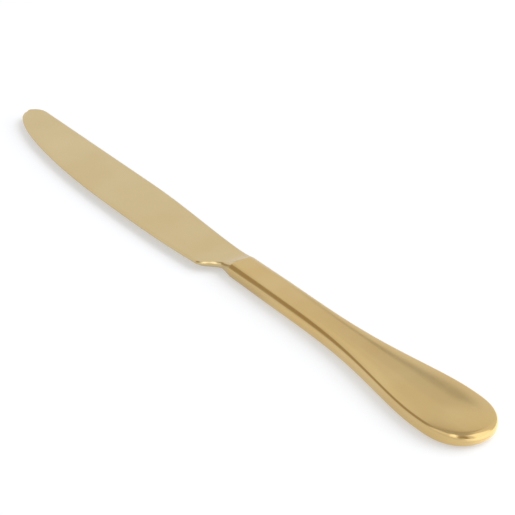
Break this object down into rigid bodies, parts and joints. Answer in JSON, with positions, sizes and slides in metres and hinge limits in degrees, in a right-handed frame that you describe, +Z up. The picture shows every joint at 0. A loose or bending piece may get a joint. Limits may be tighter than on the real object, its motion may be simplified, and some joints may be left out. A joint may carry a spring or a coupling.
{
  "type": "table knife",
  "caption": "Gold-finished table knife with a round-ended tapered blade, coved bolster and slim hollow handle that swells to a rounded butt.",
  "frame": {"origin": "on the table the knife lies on, under the middle of the handle's axis", "axes": "+X runs along the handle's axis from the tip of the blade to the butt, +Y is towards the spine, +Z is up through the broad faces"},
  "size_m": [0.2315, 0.0206, 0.0049],
  "materials": {
    "blade_steel": "polished stainless steel with a gold titanium nitride coat",
    "handle_sheet": "polished stainless steel sheet with a gold titanium nitride coat",
    "braze": "braze polished flush under the gold coat",
    "cement": "dull mineral-filled cement",
    "weight_steel": "plain mild steel"
  },
  "bodies": {
    "root": {"blade": "blade_steel", "handle_shell_upper": "handle_sheet", "handle_shell_lower": "handle_sheet", "seam_braze": "braze", "mouth_braze": "braze", "tang_cement": "cement", "balance_weight": "weight_steel"}
  },
  "joints": []
}
